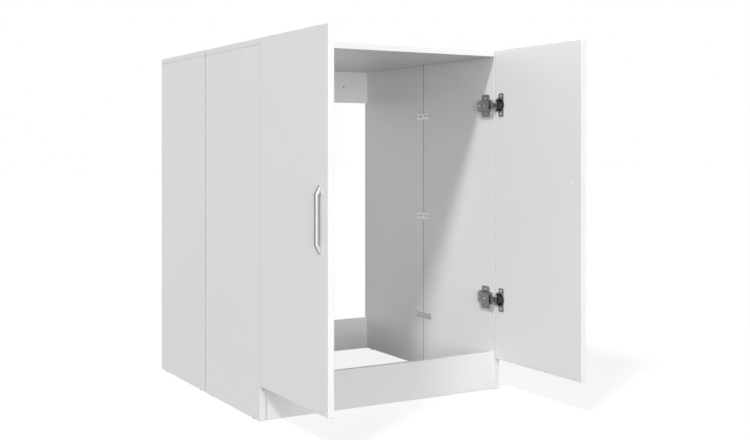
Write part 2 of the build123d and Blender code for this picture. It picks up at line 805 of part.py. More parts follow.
# Small steel parts of the hinges, one group for each door
for side_name, side in sides.items():
    levels = hinge_heights.values()
    with BuildPart() as link_pins:
        for height in levels:
            for pivot in (outer_pivot, inner_pivot):
                with Locations(hinge_plane(side, height)):
                    with Locations(pivot):
                        Cylinder(pin_diameter / 2, arm_width + pin_head_length)
                        for end in (-1, 1):
                            with Locations((0, 0, end * (arm_width + pin_head_length) / 2)):
                                Cylinder(pin_head_diameter / 2, pin_head_length)
    save(link_pins, f"link_pins_{side_name}")

    with BuildPart() as mounting_plate_screws:
        with Locations(*[p for height in levels for p in plate_screw_places(side, height, plate_thickness)]):
            raised_screw(screw_head_diameter, screw_head_height, screw_shank_diameter, screw_length)
    save(mounting_plate_screws, f"mounting_plate_screws_{side_name}")

    with BuildPart() as cup_screws:
        with Locations(*[p for height in levels for p in cup_screw_places(side, height, cup_rim_thickness)]):
            raised_screw(screw_head_diameter, screw_head_height, screw_shank_diameter, screw_length)
    save(cup_screws, f"cup_screws_{side_name}")

    with BuildPart() as arm_screws:
        with Locations(*[hinge_face(side, height, y, arm_top) for height in levels for y in arm_screw_spots]):
            raised_screw(arm_screw_head_diameter, screw_head_height, screw_shank_diameter, arm_screw_length)
    save(arm_screws, f"arm_screws_{side_name}")
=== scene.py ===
import math

import bmesh
import bpy
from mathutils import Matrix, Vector


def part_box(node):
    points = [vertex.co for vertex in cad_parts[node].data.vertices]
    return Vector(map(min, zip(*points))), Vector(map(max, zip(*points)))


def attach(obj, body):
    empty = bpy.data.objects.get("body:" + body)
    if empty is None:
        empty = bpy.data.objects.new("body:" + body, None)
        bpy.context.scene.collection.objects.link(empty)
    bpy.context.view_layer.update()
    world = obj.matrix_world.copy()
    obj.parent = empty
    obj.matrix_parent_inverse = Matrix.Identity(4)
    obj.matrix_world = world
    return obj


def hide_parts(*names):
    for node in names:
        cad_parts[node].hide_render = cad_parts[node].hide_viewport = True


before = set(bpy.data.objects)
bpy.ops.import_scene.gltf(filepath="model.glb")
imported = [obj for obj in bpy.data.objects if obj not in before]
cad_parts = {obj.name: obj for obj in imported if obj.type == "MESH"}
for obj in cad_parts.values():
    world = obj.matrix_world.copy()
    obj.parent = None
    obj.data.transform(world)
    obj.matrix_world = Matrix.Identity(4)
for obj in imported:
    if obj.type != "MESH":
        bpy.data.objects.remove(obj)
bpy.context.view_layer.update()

MM = 0.001

# The boards: chipboard with a white laminate on both faces and a white strip glued round the
# edges that show. The rear and bottom edges and the drilled holes show the bare core. Where two
# boards are joined edge to edge their corners are trimmed back, and painted dark as shade in the joint.
LAMINATE_SKIN = 0.12 * MM
BAND_THICKNESS = 1.0 * MM
GLUE_LINE = 0.07 * MM
TRIMMED_CORNER = 0.95 * MM
OUT_OF_REACH = 1.0
LAMINATE_WHITE = (0.82, 0.82, 0.81, 1)
LAMINATE_SHADE = (0.80, 0.80, 0.79, 1)
GLUE_GREY = (0.50, 0.49, 0.47, 1)
# Painted shade: the colour of the trimmed corners, standing for the shade in the joint between boards.
JOINT_PAINTED_SHADE = (0.11, 0.10, 0.09, 1)
CHIP_PALE = (0.56, 0.42, 0.26, 1)
CHIP_DARK = (0.27, 0.17, 0.09, 1)
LAMINATE_ROUGHNESS = (0.40, 0.50)
CORE_ROUGHNESS = 0.9
LAMINATE_GRAIN_SCALE = 1500
LAMINATE_CLOUD_SCALE = 3.0
CHIP_SCALE = 420
LAMINATE_CLOUD_DETAIL = 3.0
LAMINATE_GRAIN_DETAIL = 2.0
CLOUD_LIMITS = (0.35, 0.65)
SKIN_FADE = 1.2
GRAIN_RELIEF = 0.12
GLUE_DIP = 0.3
BOARD_BUMP = 0.5
BOARD_BUMP_DEPTH = 0.2 * MM


def add_node(tree, kind, inputs=(), **settings):
    """Adds a node, sets its settings, and fills or links the inputs given by name or number."""
    node = tree.nodes.new(kind)
    for name, value in settings.items():
        setattr(node, name, value)
    for key, value in dict(inputs).items():
        if isinstance(value, bpy.types.NodeSocket):
            tree.links.new(value, node.inputs[key])
        else:
            node.inputs[key].default_value = value
    return node


def arithmetic(tree, operation, *values, clamp=False):
    """One step of arithmetic on numbers."""
    inputs = dict(enumerate(values))
    return add_node(tree, "ShaderNodeMath", inputs, operation=operation, use_clamp=clamp).outputs[0]


def ramp_between(tree, value, low, high, to_low=0.0, to_high=1.0, smooth=False):
    """Maps a number from one range to another and holds it at the ends."""
    kind = "SMOOTHSTEP" if smooth else "LINEAR"
    inputs = {0: value, 1: low, 2: high, 3: to_low, 4: to_high}
    return add_node(tree, "ShaderNodeMapRange", inputs, interpolation_type=kind).outputs[0]


def blend_colors(tree, share, first, second):
    """Goes from the first colour to the second by a share."""
    node = add_node(tree, "ShaderNodeMix", data_type="RGBA")
    for socket, value in ((node.inputs[0], share), (node.inputs[6], first), (node.inputs[7], second)):
        if isinstance(value, bpy.types.NodeSocket):
            tree.links.new(value, socket)
        else:
            socket.default_value = value
    return node.outputs[2]


def noise(tree, point, scale, detail):
    """Smooth chance values from 0 to 1."""
    inputs = {"Vector": point, "Scale": scale, "Detail": detail}
    return add_node(tree, "ShaderNodeTexNoise", inputs).outputs[0]


def nearest_plane(tree, point, low, high):
    """Distance from a point to the nearest of six planes given by two corners."""
    distances = []
    for first, second in ((point, low), (high, point)):
        inputs = {0: first, 1: second}
        away = add_node(tree, "ShaderNodeVectorMath", inputs, operation="SUBTRACT").outputs[0]
        parts = add_node(tree, "ShaderNodeSeparateXYZ", {0: away}).outputs
        nearer = arithmetic(tree, "MINIMUM", parts[0], parts[1])
        distances.append(arithmetic(tree, "MINIMUM", nearer, parts[2]))
    return arithmetic(tree, "MINIMUM", *distances)


def laminate_group():
    """Colour, roughness and relief of a laminated board, from where its faces and edge strips are."""
    group = bpy.data.node_groups.new("laminate_over_chipboard", "ShaderNodeTree")
    for name in ("Face low", "Face high", "Strip low", "Strip high", "Trim low", "Trim high"):
        group.interface.new_socket(name, in_out="INPUT", socket_type="NodeSocketVector")
    group.interface.new_socket("Color", in_out="OUTPUT", socket_type="NodeSocketColor")
    group.interface.new_socket("Roughness", in_out="OUTPUT", socket_type="NodeSocketFloat")
    group.interface.new_socket("Relief", in_out="OUTPUT", socket_type="NodeSocketFloat")
    planes = add_node(group, "NodeGroupInput").outputs
    point = add_node(group, "ShaderNodeTexCoord").outputs["Object"]
    to_face = nearest_plane(group, point, planes[0], planes[1])
    to_strip = nearest_plane(group, point, planes[2], planes[3])
    under_skin = ramp_between(group, to_face, LAMINATE_SKIN, LAMINATE_SKIN * SKIN_FADE)
    past_strip = ramp_between(group, to_strip, BAND_THICKNESS, BAND_THICKNESS + GLUE_LINE)
    to_trim = nearest_plane(group, point, planes[4], planes[5])
    trimmed = ramp_between(group, to_trim, TRIMMED_CORNER - GLUE_LINE, TRIMMED_CORNER, 1.0, 0.0)
    core = arithmetic(group, "MAXIMUM", arithmetic(group, "MINIMUM", under_skin, past_strip), trimmed)
    beside_joint = arithmetic(group, "ABSOLUTE", arithmetic(group, "SUBTRACT", to_strip, BAND_THICKNESS))
    glue = ramp_between(group, beside_joint, GLUE_LINE / 2, GLUE_LINE, 1.0, 0.0)
    clouds = noise(group, point, LAMINATE_CLOUD_SCALE, LAMINATE_CLOUD_DETAIL)
    grain = noise(group, point, LAMINATE_GRAIN_SCALE, LAMINATE_GRAIN_DETAIL)
    cells = add_node(group, "ShaderNodeTexVoronoi", {"Vector": point, "Scale": CHIP_SCALE})
    chip_tone = add_node(group, "ShaderNodeSeparateColor", {0: cells.outputs["Color"]}).outputs[0]
    lighter = ramp_between(group, clouds, *CLOUD_LIMITS)
    laminate = blend_colors(group, lighter, LAMINATE_SHADE, LAMINATE_WHITE)
    with_glue = blend_colors(group, glue, laminate, GLUE_GREY)
    chips = blend_colors(group, chip_tone, CHIP_DARK, CHIP_PALE)
    # The trimmed corners take the painted shade of the joint.
    color = blend_colors(group, trimmed, blend_colors(group, core, with_glue, chips), JOINT_PAINTED_SHADE)
    satin = ramp_between(group, clouds, *CLOUD_LIMITS, *LAMINATE_ROUGHNESS)
    rougher_core = arithmetic(group, "MULTIPLY", core, CORE_ROUGHNESS - LAMINATE_ROUGHNESS[1])
    rough = arithmetic(group, "ADD", satin, rougher_core)
    flat_relief = arithmetic(group, "MULTIPLY", grain, GRAIN_RELIEF)
    chip_relief = arithmetic(group, "MULTIPLY", cells.outputs["Distance"], core)
    relief = arithmetic(group, "ADD", flat_relief, chip_relief)
    dipped = arithmetic(group, "SUBTRACT", relief, arithmetic(group, "MULTIPLY", glue, GLUE_DIP))
    add_node(group, "NodeGroupOutput", {0: color, 1: rough, 2: dipped})
    return group


laminate_finish = laminate_group()


def new_material(name):
    """A material and its node tree."""
    material = bpy.data.materials.new(name)
    material.use_nodes = True
    return material, material.node_tree


def finish_surface(tree, color, roughness, height, bump, depth):
    """Gives a surface its colour, its roughness and its relief."""
    relief = add_node(tree, "ShaderNodeBump", {"Height": height, "Strength": bump, "Distance": depth})
    shader = tree.nodes["Principled BSDF"]
    tree.links.new(color, shader.inputs["Base Color"])
    tree.links.new(roughness, shader.inputs["Roughness"])
    tree.links.new(relief.outputs[0], shader.inputs["Normal"])
    return shader


def board_material(node, thickness_axis, bare, trimmed=()):
    """The laminate for one board. bare lists the edges without a strip, such as y+ or z-, and
    trimmed those whose corners are cut back to the core."""
    corners = {name: [Vector(corner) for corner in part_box(node)] for name in ("face", "strip", "trim")}
    for axis in range(3):
        for end, sign in ((0, -1), (1, 1)):
            edge = "xyz"[axis] + "-+"[end]
            if axis == thickness_axis or edge in bare:
                corners["strip"][end][axis] += sign * OUT_OF_REACH
            if axis != thickness_axis:
                corners["face"][end][axis] += sign * OUT_OF_REACH
            if edge not in trimmed:
                corners["trim"][end][axis] += sign * OUT_OF_REACH
    material, tree = new_material("laminate_" + node)
    finish = add_node(tree, "ShaderNodeGroup", node_tree=laminate_finish)
    for socket, corner in zip(finish.inputs, corners["face"] + corners["strip"] + corners["trim"]):
        socket.default_value = corner
    color, roughness, relief = finish.outputs
    finish_surface(tree, color, roughness, relief, BOARD_BUMP, BOARD_BUMP_DEPTH)
    return material


def dress(node, material):
    """Gives a CAD node its material."""
    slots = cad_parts[node].data.materials
    slots.clear()
    slots.append(material)


for side in ("left", "right"):
    for half, seam, bare in (("front", "y+", ("y+", "z-", "z+")), ("rear", "y-", ("y-", "y+", "z-", "z+"))):
        panel = f"side_panel_{side}_{half}"
        dress(panel, board_material(panel, 0, bare, (seam,)))
    dress(f"door_{side}", board_material(f"door_{side}", 0, ()))
for panel, seam in (("top_panel_front", "y+"), ("top_panel_rear", "y-")):
    dress(panel, board_material(panel, 2, (seam,), (seam,)))
dress("kick_board", board_material("kick_board", 1, ("x-", "x+", "z-")))
for rail in ("upper_back_rail", "lower_back_rail"):
    dress(rail, board_material(rail, 1, ("x-", "x+", "z+" if rail == "upper_back_rail" else "z-")))


# Fittings inside the boards: die-cast zinc cams, zinc-plated bolts and fluted beech dowels. They
# are pressed or screwed into their holes, where only a cut through the board would show them.
FINISH_DETAIL = 3.0
PATCH_OVER_GRAIN = 6
PATCH_LIMITS = (0.3, 0.7)
GLOSS_SPREAD = 0.15
FINISH_BUMP = 0.6


def plated_material(name, color, roughness, grain_scale, grain_depth, metallic=1.0, color_spread=0.12):
    """A metal or moulded finish with fine grain and slightly uneven colour and gloss."""
    material, tree = new_material(name)
    point = add_node(tree, "ShaderNodeTexCoord").outputs["Object"]
    patches = noise(tree, point, grain_scale / PATCH_OVER_GRAIN, FINISH_DETAIL)
    grain = noise(tree, point, grain_scale, FINISH_DETAIL)
    darker = tuple(channel * (1 - color_spread) for channel in color) + (1,)
    lighter = tuple(min(1.0, channel * (1 + color_spread)) for channel in color) + (1,)
    shade = blend_colors(tree, ramp_between(tree, patches, *PATCH_LIMITS), darker, lighter)
    glossiest, dullest = roughness * (1 - GLOSS_SPREAD), roughness * (1 + GLOSS_SPREAD)
    gloss = ramp_between(tree, patches, *PATCH_LIMITS, glossiest, dullest)
    shader = finish_surface(tree, shade, gloss, grain, FINISH_BUMP, grain_depth)
    shader.inputs["Metallic"].default_value = metallic
    return material


cast_zinc = plated_material(
    "die_cast_zinc", color=(0.36, 0.36, 0.38), roughness=0.5, grain_scale=1800, grain_depth=0.05 * MM
)
zinc_plate = plated_material(
    "bright_zinc_plate", color=(0.50, 0.51, 0.53), roughness=0.3, grain_scale=2500, grain_depth=0.01 * MM
)
beech = plated_material(
    "beech_dowel",
    color=(0.52, 0.34, 0.18),
    roughness=0.75,
    grain_scale=1500,
    grain_depth=0.05 * MM,
    metallic=0.0,
    color_spread=0.2,
)
for node in ("top_cam_locks", "rail_cam_locks"):
    dress(node, cast_zinc)
for node in ("top_cam_bolts", "rail_cam_bolts"):
    dress(node, zinc_plate)
for node in ("top_dowels", "rail_dowels", "seam_dowels"):
    dress(node, beech)


# Flat plates of zinc-plated steel, screwed across the joints of the side boards. They and the other
# pressed pieces are taken over from the frame's solids, with their corners rounded as the press
# leaves them.
PRESS_ANGLE = math.radians(32)
SHARP_ANGLE = math.radians(50)
FLAT_ANGLE = math.radians(0.5)
WELD_DISTANCE = 0.002 * MM
ROUNDING_STEPS = 2
FLAT_WEIGHT = 100
SEAM_PLATE_CORNER = 0.3 * MM


def add_object(name, data):
    """A new object in the scene."""
    thing = bpy.data.objects.new(name, data)
    bpy.context.scene.collection.objects.link(thing)
    return thing


def pressed_piece(node, name, corner):
    """A copy of a frame solid with its corners rounded, standing for that solid."""
    shape = bmesh.new()
    shape.from_mesh(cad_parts[node].data)
    bmesh.ops.remove_doubles(shape, verts=shape.verts, dist=WELD_DISTANCE)
    bmesh.ops.dissolve_limit(
        shape,
        angle_limit=FLAT_ANGLE,
        verts=shape.verts,
        edges=shape.edges,
        use_dissolve_boundaries=False,
    )
    mesh = bpy.data.meshes.new(name)
    shape.to_mesh(mesh)
    shape.free()
    piece = add_object(name, mesh)
    rounding = piece.modifiers.new("rounding", "BEVEL")
    rounding.width = corner
    rounding.segments = ROUNDING_STEPS
    rounding.limit_method = "ANGLE"
    rounding.angle_limit = PRESS_ANGLE
    return settle(piece, name)


def settle(piece, name):
    """Turns a piece with its modifiers into a plain mesh, with even light over its flats."""
    for step in ("shape", "normals"):
        if step == "normals":
            evening = piece.modifiers.new("evening", "WEIGHTED_NORMAL")
            evening.keep_sharp = True
            evening.weight = FLAT_WEIGHT
        graph = bpy.context.evaluated_depsgraph_get()
        mesh = bpy.data.meshes.new_from_object(piece.evaluated_get(graph), depsgraph=graph)
        mesh.name = name
        piece.modifiers.clear()
        old = piece.data
        piece.data = mesh
        bpy.data.meshes.remove(old)
        if step == "shape":
            mesh.shade_smooth()
            mesh.set_sharp_from_angle(angle=SHARP_ANGLE)
    return piece


def finish_piece(piece, material, body, node):
    """Gives a finished piece its material and its body, and hides the CAD node that it stands for."""
    if material is not None:
        piece.data.materials.clear()
        piece.data.materials.append(material)
    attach(piece, body)
    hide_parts(node)


plates = pressed_piece("seam_plates", "seam_plates_pressed", SEAM_PLATE_CORNER)
finish_piece(plates, zinc_plate, "carcass", "seam_plates")

# Screws with crossed slots. The heads are cold formed with a soft dome, each turned a little
# differently, as a driver leaves them.
SCREW_AROUND = 33
OUTLINE_STEPS = 13
MERGE_DISTANCE = 0.001 * MM
SHANK_SIDES = 16
SHANK_MIDDLE = -0.49
SORT_DIGITS = 5
HEAD_ACROSS = ((0, 0), (0.25, 0.45), (0.5, 0.8), (0.65, 0.97), (0.72, 1), (0.8, 1), (1, 0))
HEAD_UP = ((0, 1), (0.25, 0.95), (0.5, 0.74), (0.65, 0.4), (0.72, 0.2), (0.8, 0), (1, 0))
PLACE_FACING = "facing"


def new_tree(name, sizes):
    """A geometry tree with named inputs for its sizes, a seed and a finish."""
    tree = bpy.data.node_groups.new(name, "GeometryNodeTree")
    tree.interface.new_socket("Geometry", in_out="INPUT", socket_type="NodeSocketGeometry")
    for size in sizes:
        tree.interface.new_socket(size, in_out="INPUT", socket_type="NodeSocketFloat")
    tree.interface.new_socket("Seed", in_out="INPUT", socket_type="NodeSocketInt")
    tree.interface.new_socket("Finish", in_out="INPUT", socket_type="NodeSocketMaterial")
    tree.interface.new_socket("Geometry", in_out="OUTPUT", socket_type="NodeSocketGeometry")
    return tree, add_node(tree, "NodeGroupInput").outputs


def outline_curve(tree, value, points):
    """A curve through points, both ways from 0 to 1."""
    node = add_node(tree, "ShaderNodeFloatCurve", {"Value": value})
    curve = node.mapping.curves[0]
    for x, y in points[1:-1]:
        curve.points.new(x, y)
    for point, (x, y) in zip(curve.points, points):
        point.location = (x, y)
        point.handle_type = "VECTOR"
    node.mapping.update()
    return node.outputs[0]


def turned_solid(tree, diameter, height, across, up, around):
    """A closed turned solid on z = 0 whose outline is given by two curves."""
    grid = {"Size X": 1.0, "Size Y": 1.0, "Vertices X": around, "Vertices Y": OUTLINE_STEPS}
    sheet = add_node(tree, "GeometryNodeMeshGrid", grid).outputs[0]
    position = add_node(tree, "GeometryNodeInputPosition").outputs[0]
    spot = add_node(tree, "ShaderNodeSeparateXYZ", {0: position}).outputs
    angle = arithmetic(tree, "MULTIPLY", arithmetic(tree, "ADD", spot[0], 0.5), -math.tau)
    along = arithmetic(tree, "ADD", spot[1], 0.5)
    half_width = arithmetic(tree, "DIVIDE", diameter, 2.0)
    radius = arithmetic(tree, "MULTIPLY", outline_curve(tree, along, across), half_width)
    level = arithmetic(tree, "MULTIPLY", outline_curve(tree, along, up), height)
    place = add_node(
        tree,
        "ShaderNodeCombineXYZ",
        {
            0: arithmetic(tree, "MULTIPLY", radius, arithmetic(tree, "COSINE", angle)),
            1: arithmetic(tree, "MULTIPLY", radius, arithmetic(tree, "SINE", angle)),
            2: level,
        },
    ).outputs[0]
    rolled = add_node(tree, "GeometryNodeSetPosition", {"Geometry": sheet, "Position": place}).outputs[0]
    merging = {"Geometry": rolled, "Distance": MERGE_DISTANCE}
    return add_node(tree, "GeometryNodeMergeByDistance", merging).outputs[0]


def moved_up(tree, shape, amount):
    """Shifts a shape along z."""
    shift = add_node(tree, "ShaderNodeCombineXYZ", {2: amount}).outputs[0]
    return add_node(tree, "GeometryNodeTransform", {"Geometry": shape, "Translation": shift}).outputs[0]


def set_at_places(tree, places, shape, seed, finish):
    """Sets a shape at each place, facing its own way and turned by chance, and ends the tree."""
    facing = add_node(
        tree, "GeometryNodeInputNamedAttribute", {"Name": PLACE_FACING}, data_type="FLOAT_VECTOR"
    ).outputs[0]
    stand = add_node(tree, "FunctionNodeAlignRotationToVector", {"Vector": facing}, axis="Z").outputs[0]
    chance = add_node(tree, "FunctionNodeRandomValue", {"Seed": seed}, data_type="FLOAT")
    chance.inputs[3].default_value = math.tau
    angle = {"Axis": (0, 0, 1), "Angle": chance.outputs[1]}
    twist = add_node(tree, "FunctionNodeAxisAngleToRotation", angle)
    turned = add_node(
        tree,
        "FunctionNodeRotateRotation",
        {"Rotation": stand, "Rotate By": twist.outputs[0]},
        rotation_space="LOCAL",
    ).outputs[0]
    copies = add_node(
        tree, "GeometryNodeInstanceOnPoints", {"Points": places, "Instance": shape, "Rotation": turned}
    ).outputs[0]
    real = add_node(tree, "GeometryNodeRealizeInstances", {0: copies}).outputs[0]
    dressed = add_node(tree, "GeometryNodeSetMaterial", {"Geometry": real, "Material": finish}).outputs[0]
    add_node(tree, "NodeGroupOutput", {0: dressed})


def crossed_screw_tree():
    """Screws: a domed head with a crossed slot, and a shank."""
    sizes = (
        "Head diameter",
        "Head height",
        "Shank diameter",
        "Shank length",
        "Slot length",
        "Slot width",
        "Slot depth",
    )
    tree, given = new_tree("crossed_screws", sizes)
    head = turned_solid(
        tree, given["Head diameter"], given["Head height"], HEAD_ACROSS, HEAD_UP, SCREW_AROUND
    )
    tall = arithmetic(tree, "MULTIPLY", given["Slot depth"], 2.0)
    slots = []
    for length, width in (("Slot length", "Slot width"), ("Slot width", "Slot length")):
        sides = {0: given[length], 1: given[width], 2: tall}
        size = add_node(tree, "ShaderNodeCombineXYZ", sides).outputs[0]
        block = add_node(tree, "GeometryNodeMeshCube", {"Size": size}).outputs[0]
        slots.append(moved_up(tree, block, given["Head height"]))
    cut = add_node(tree, "GeometryNodeMeshBoolean", {0: head, 1: slots[0]}, operation="DIFFERENCE")
    tree.links.new(slots[1], cut.inputs[1])
    shank = add_node(
        tree,
        "GeometryNodeMeshCylinder",
        {
            "Vertices": SHANK_SIDES,
            "Radius": arithmetic(tree, "DIVIDE", given["Shank diameter"], 2.0),
            "Depth": given["Shank length"],
        },
    ).outputs[0]
    low = arithmetic(tree, "MULTIPLY", given["Shank length"], SHANK_MIDDLE)
    both = add_node(tree, "GeometryNodeJoinGeometry", {0: cut.outputs[0]})
    tree.links.new(moved_up(tree, shank, low), both.inputs[0])
    set_at_places(tree, given["Geometry"], both.outputs[0], given["Seed"], given["Finish"])
    return tree


crossed_screws = crossed_screw_tree()


def made_by_tree(name, places, tree, sizes, body, node):
    """Runs a tree over a list of places, each a point and the way that it faces."""
    mesh = bpy.data.meshes.new(name)
    mesh.from_pydata([tuple(spot) for spot, _ in places], [], [])
    facing = mesh.attributes.new(PLACE_FACING, "FLOAT_VECTOR", "POINT")
    for item, (_, way) in zip(facing.data, places):
        item.vector = way
    piece = add_object(name, mesh)
    setting = piece.modifiers.new("pieces", "NODES")
    setting.node_group = tree
    inputs = [item for item in tree.interface.items_tree if item.in_out == "INPUT"]
    identifiers = {item.name: item.identifier for item in inputs}
    for size, value in sizes.items():
        setting[identifiers[size]] = value
    settle(piece, name)
    finish_piece(piece, None, body, node)


def solids_of(node):
    """The boxes of the separate solids in a frame node."""
    shape = bmesh.new()
    shape.from_mesh(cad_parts[node].data)
    bmesh.ops.remove_doubles(shape, verts=shape.verts, dist=WELD_DISTANCE)
    left = set(shape.verts)
    boxes = []
    while left:
        group, edge_front = set(), [left.pop()]
        while edge_front:
            vert = edge_front.pop()
            group.add(vert)
            for edge in vert.link_edges:
                other = edge.other_vert(vert)
                if other in left:
                    left.discard(other)
                    edge_front.append(other)
        corners = [vert.co for vert in group]
        boxes.append(
            (
                Vector([min(c[i] for c in corners) for i in range(3)]),
                Vector([max(c[i] for c in corners) for i in range(3)]),
            )
        )
    shape.free()
    return sorted(boxes, key=lambda pair: tuple(round(c, SORT_DIGITS) for c in pair[0]))


def head_places(node, way_of, height):
    """Where the heads of a node's screws stand, from the boxes of its solids."""
    places = []
    for low, high in solids_of(node):
        middle = (low + high) / 2
        way = Vector(way_of(middle))
        top = Vector([high[i] if way[i] > 0 else low[i] if way[i] < 0 else middle[i] for i in range(3)])
        places.append((top - way * height, way))
    return places


def inward(point):
    """The way from a side board into the cabinet at a point."""
    return (-1.0 if point.x > 0 else 1.0, 0.0, 0.0)


WOOD_SCREW = {
    "Head diameter": 7.2 * MM,
    "Head height": 2.2 * MM,
    "Shank diameter": 3.4 * MM,
    "Shank length": 11 * MM,
    "Slot length": 4.0 * MM,
    "Slot width": 0.95 * MM,
    "Slot depth": 1.1 * MM,
    "Finish": zinc_plate,
}
for node, body, slot_name, seed in (
    ("seam_plate_screws", "carcass", "zinc_steel", 11),
    ("mounting_plate_screws_left", "carcass", "zinc_steel", 12),
    ("mounting_plate_screws_right", "carcass", "zinc_steel", 13),
    ("cup_screws_left", "door_left", "zinc_steel", 14),
    ("cup_screws_right", "door_right", "zinc_steel", 15),
):
    made_by_tree(
        node + "_crossed",
        head_places(node, inward, WOOD_SCREW["Head height"]),
        crossed_screws,
        dict(WOOD_SCREW, Seed=seed),
        body,
        node,
    )

# Push-on caps of white plastic. They cover the cams and the heads of the handle screws, and
# have a rounded rim and a slightly hollow face.
CAP_ACROSS = ((0, 0), (0.3, 0.78), (0.42, 0.86), (0.55, 0.95), (0.68, 1), (0.78, 1), (1, 0))
CAP_UP = ((0, 0.86), (0.3, 0.86), (0.42, 1), (0.55, 0.9), (0.68, 0.55), (0.78, 0), (1, 0))
CAP_AROUND = 49
white_plastic = plated_material(
    "white_cap_plastic",
    color=(0.80, 0.80, 0.79),
    roughness=0.42,
    grain_scale=900,
    grain_depth=0.01 * MM,
    metallic=0.0,
    color_spread=0.02,
)


def cap_tree():
    """Round caps."""
    tree, given = new_tree("push_on_caps", ("Cap diameter", "Cap height"))
    cap = turned_solid(tree, given["Cap diameter"], given["Cap height"], CAP_ACROSS, CAP_UP, CAP_AROUND)
    set_at_places(tree, given["Geometry"], cap, given["Seed"], given["Finish"])
    return tree


push_on_caps = cap_tree()


def rail_way(point):
    """The way that a cap on a cross board faces: the kick board's to the back, the rails' to the front."""
    return (0.0, 1.0 if point.y < 0 else -1.0, 0.0)


for node, body, way_of, seed in (
    ("top_cam_caps", "carcass", inward, 21),
    ("rail_cam_caps", "carcass", rail_way, 22),
    ("handle_screw_caps_left", "door_left", inward, 23),
    ("handle_screw_caps_right", "door_right", inward, 24),
):
    low, high = solids_of(node)[0]
    size = high - low
    made_by_tree(
        node + "_pushed_on",
        head_places(node, way_of, min(size)),
        push_on_caps,
        {"Cap diameter": max(size), "Cap height": min(size), "Seed": seed, "Finish": white_plastic},
        body,
        node,
    )

# Glides: buttons of hard dark plastic, which keep the bare bottom edges of the sides off the floor.
# They are nailed into those edges.
glide_plastic = plated_material(
    "dark_glide_plastic",
    color=(0.05, 0.05, 0.05),
    roughness=0.5,
    grain_scale=900,
    grain_depth=0.02 * MM,
    metallic=0.0,
    color_spread=0.1,
)
dress("foot_glides", glide_plastic)

# Concealed hinges: plates, arms and cups pressed from nickel-plated steel, links stamped from
# thicker plate and riveted. The plate is screwed to the side and the cup is pressed into the door.
MOUNTING_PLATE_CORNER = 0.5 * MM
ARM_CORNER = 0.45 * MM
OUTER_LINK_CORNER = 0.2 * MM
INNER_LINK_CORNER = 0.3 * MM
CUP_CORNER = 0.4 * MM
nickel_plate = plated_material(
    "nickel_plate", color=(0.24, 0.24, 0.25), roughness=0.34, grain_scale=1600, grain_depth=0.01 * MM
)
link_steel = plated_material(
    "greased_link_steel",
    color=(0.17, 0.17, 0.175),
    roughness=0.36,
    grain_scale=1600,
    grain_depth=0.015 * MM,
)
ARM_SCREW = dict(
    WOOD_SCREW,
    **{"Head diameter": 6.6 * MM, "Slot length": 3.6 * MM, "Slot width": 0.9 * MM, "Shank length": 14 * MM},
)
for side, seed in (("left", 31), ("right", 41)):
    for level in ("upper", "lower"):
        which = f"{side}_{level}"
        for node, body, slot_name, corner, material in (
            (f"mounting_plate_{which}", "carcass", "nickel_steel", MOUNTING_PLATE_CORNER, nickel_plate),
            (f"hinge_arm_{which}", "carcass", "nickel_steel", ARM_CORNER, nickel_plate),
            (f"outer_link_{which}", f"outer_links_{side}", "link_steel", OUTER_LINK_CORNER, link_steel),
            (f"inner_link_{which}", f"inner_links_{side}", "link_steel", INNER_LINK_CORNER, link_steel),
            (f"hinge_cup_{which}", f"door_{side}", "nickel_steel", CUP_CORNER, nickel_plate),
        ):
            piece = pressed_piece(node, node + "_pressed", corner)
            finish_piece(piece, material, body, node)
    dress(f"link_pins_{side}", link_steel)
    arm_screws = f"arm_screws_{side}"
    made_by_tree(
        arm_screws + "_crossed",
        head_places(arm_screws, inward, ARM_SCREW["Head height"]),
        crossed_screws,
        dict(ARM_SCREW, Seed=seed),
        "carcass",
        arm_screws,
    )

# Bow handles of satin steel, ground along their length, on the outer faces of the doors. The sides
# carry a painted highlight and the broad outer face a painted shade. Each is held by two machine screws
# from inside the door.
# Painted highlight on the sides of the bows and painted shade on their broad outer face.
SIDE_PAINTED_HIGHLIGHT = (0.64, 0.64, 0.65, 1)
FACE_PAINTED_SHADE = (0.26, 0.26, 0.265, 1)
HANDLE_ROUGHNESS = 0.38
FACE_HALF = 3.9 * MM
FACE_FADE = 0.7 * MM
HANDLE_CORNER = 0.15 * MM
GRIND_ALONG = 0.02
GRIND_SCALE = 4000.0
GRIND_DETAIL = 4.0
GRIND_LIMITS = (0.3, 0.7)
STREAK_DARKEST = 0.82
GRIND_GLOSS = (0.8, 1.25)
GRIND_BUMP = 0.5
GRIND_DEPTH = 0.01 * MM


def ground_steel(name, middle):
    """Steel ground along z: fine lines in its gloss and relief, with a painted shade near the middle of its
    width and a painted highlight beside it.
    """
    material, tree = new_material(name)
    point = add_node(tree, "ShaderNodeTexCoord").outputs["Object"]
    stretch = {"Vector": point, "Scale": (1.0, 1.0, GRIND_ALONG)}
    drawn = add_node(tree, "ShaderNodeMapping", stretch).outputs[0]
    lines = noise(tree, drawn, GRIND_SCALE, GRIND_DETAIL)
    across = add_node(tree, "ShaderNodeSeparateXYZ", {0: point}).outputs[1]
    away = arithmetic(tree, "ABSOLUTE", arithmetic(tree, "SUBTRACT", across, middle))
    painted_highlight_share = ramp_between(tree, away, FACE_HALF, FACE_HALF + FACE_FADE, smooth=True)
    streaks = ramp_between(tree, lines, *GRIND_LIMITS, STREAK_DARKEST, 1.0)
    # Painted shade across the middle of the outer face and painted highlight on the sides, with the
    # grinding lines.
    shade = blend_colors(tree, arithmetic(tree, "MULTIPLY", painted_highlight_share, streaks), FACE_PAINTED_SHADE, SIDE_PAINTED_HIGHLIGHT)
    gloss = ramp_between(tree, lines, *GRIND_LIMITS, *(HANDLE_ROUGHNESS * share for share in GRIND_GLOSS))
    shader = finish_surface(tree, shade, gloss, lines, GRIND_BUMP, GRIND_DEPTH)
    shader.inputs["Metallic"].default_value = 1.0
    return material


